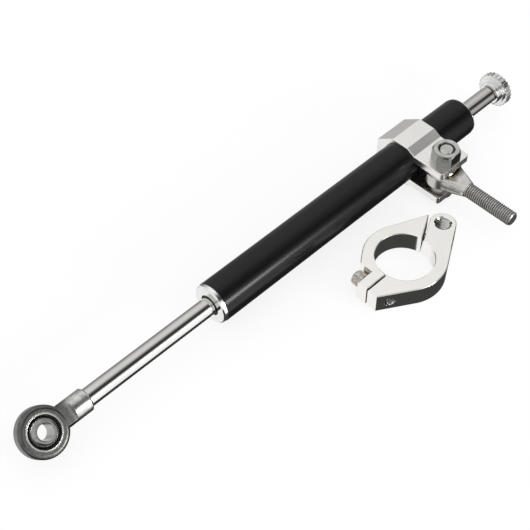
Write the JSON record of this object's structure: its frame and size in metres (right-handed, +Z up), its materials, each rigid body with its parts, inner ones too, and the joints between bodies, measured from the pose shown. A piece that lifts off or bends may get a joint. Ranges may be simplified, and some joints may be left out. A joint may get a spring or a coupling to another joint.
{
  "type": "motorcycle steering damper",
  "caption": "Through-rod hydraulic steering damper with adjuster knob, ball-jointed eye, clamp bracket with threaded ball link, and a loose split fork clamp.",
  "frame": {"origin": "centre of the ball in the eye at the rod's end, on the damper's axis", "axes": "+X runs along the damper from the eye to the adjuster, +Z is up from the surface that the set lies on, and the bracket's ears and the threaded link point to -Y"},
  "size_m": [0.3383, 0.0846, 0.0321],
  "materials": {
    "black_anodised": "black anodised, satin",
    "bare_aluminium": "fine turned and milled, bright",
    "silver_anodised": "silver anodised, satin",
    "chromed_rod": "hard chromed and polished",
    "rod_end_steel": "zinc plated, dull",
    "ball_steel": "ground and polished",
    "race_steel": "turned steel",
    "race_brass": "turned brass",
    "liner_black": "black bearing liner",
    "seal_rubber": "black nitrile rubber",
    "bush_bronze": "bronze bearing bush",
    "ring_plastic": "filled bearing plastic",
    "fastener_steel": "zinc plated steel",
    "spring_steel": "drawn spring wire"
  },
  "bodies": {
    "damper_tube": {"outer_tube": "black_anodised", "front_gland": "bare_aluminium", "front_wiper": "seal_rubber", "front_rod_seal": "seal_rubber", "front_rod_bush": "bush_bronze", "front_gland_o_ring": "seal_rubber", "rear_gland": "bare_aluminium", "rear_wiper": "seal_rubber", "rear_rod_seal": "seal_rubber", "rear_rod_bush": "bush_bronze", "rear_gland_o_ring": "seal_rubber"},
    "piston": {"piston": "bare_aluminium", "piston_ring": "ring_plastic"},
    "rod": {"piston_rod": "chromed_rod", "piston_clips": "spring_steel", "rod_end_body": "rod_end_steel", "eye_race": "race_steel", "detent_ball": "ball_steel", "detent_spring": "spring_steel"},
    "eye_liner": {"eye_liner": "liner_black"},
    "eye_ball": {"eye_ball": "ball_steel"},
    "adjuster": {"adjuster_knob": "silver_anodised", "adjuster_spindle": "race_steel", "spindle_o_ring": "seal_rubber", "knob_screw": "fastener_steel"},
    "bracket": {"clamp_bracket": "silver_anodised", "pinch_bolt": "fastener_steel", "pinch_nut": "fastener_steel", "link_washers": "fastener_steel"},
    "link_ball": {"link_ball": "ball_steel"},
    "frame_link": {"link_body": "fastener_steel", "link_race": "race_brass"},
    "fork_clamp": {"fork_eye_half": "silver_anodised", "fork_plain_half": "silver_anodised", "fork_screws": "fastener_steel"}
  },
  "joints": [
    {"name": "rod_slide", "type": "slide", "parent": "damper_tube", "child": "piston", "axis": [1, 0, 0], "range_m": [-0.018, 0.072]},
    {"name": "rod_spin", "type": "hinge", "parent": "piston", "child": "rod", "pos_m": [0.1, 0, 0], "axis": [1, 0, 0], "continuous": true},
    {"name": "dial_turn", "type": "hinge", "parent": "rod", "child": "adjuster", "pos_m": [0.318, 0, 0], "axis": [1, 0, 0], "range_deg": [0, 300]},
    {"name": "eye_tilt", "type": "hinge", "parent": "rod", "child": "eye_liner", "pos_m": [0, 0, 0], "axis": [0, 0.7547, 0.6561], "range_deg": [-13, 13]},
    {"name": "eye_spin", "type": "hinge", "parent": "eye_liner", "child": "eye_ball", "pos_m": [0, 0, 0], "axis": [0, -0.6561, 0.7547], "continuous": true},
    {"name": "bracket_slide", "type": "slide", "parent": "damper_tube", "child": "bracket", "axis": [1, 0, 0], "range_m": [-0.005, 0.026]},
    {"name": "link_swing", "type": "hinge", "parent": "bracket", "child": "link_ball", "pos_m": [0.2531, -0.0211, -0.0013], "axis": [0, 0, 1], "range_deg": [-20, 95]},
    {"name": "link_tilt", "type": "hinge", "parent": "link_ball", "child": "frame_link", "pos_m": [0.2531, -0.0211, -0.0013], "axis": [1, 0, 0], "range_deg": [-10, 10]},
    {"name": "fork_clamp_lift", "type": "slide", "parent": "damper_tube", "child": "fork_clamp", "axis": [0, 0, 1], "range_m": [0, 0.05]}
  ]
}
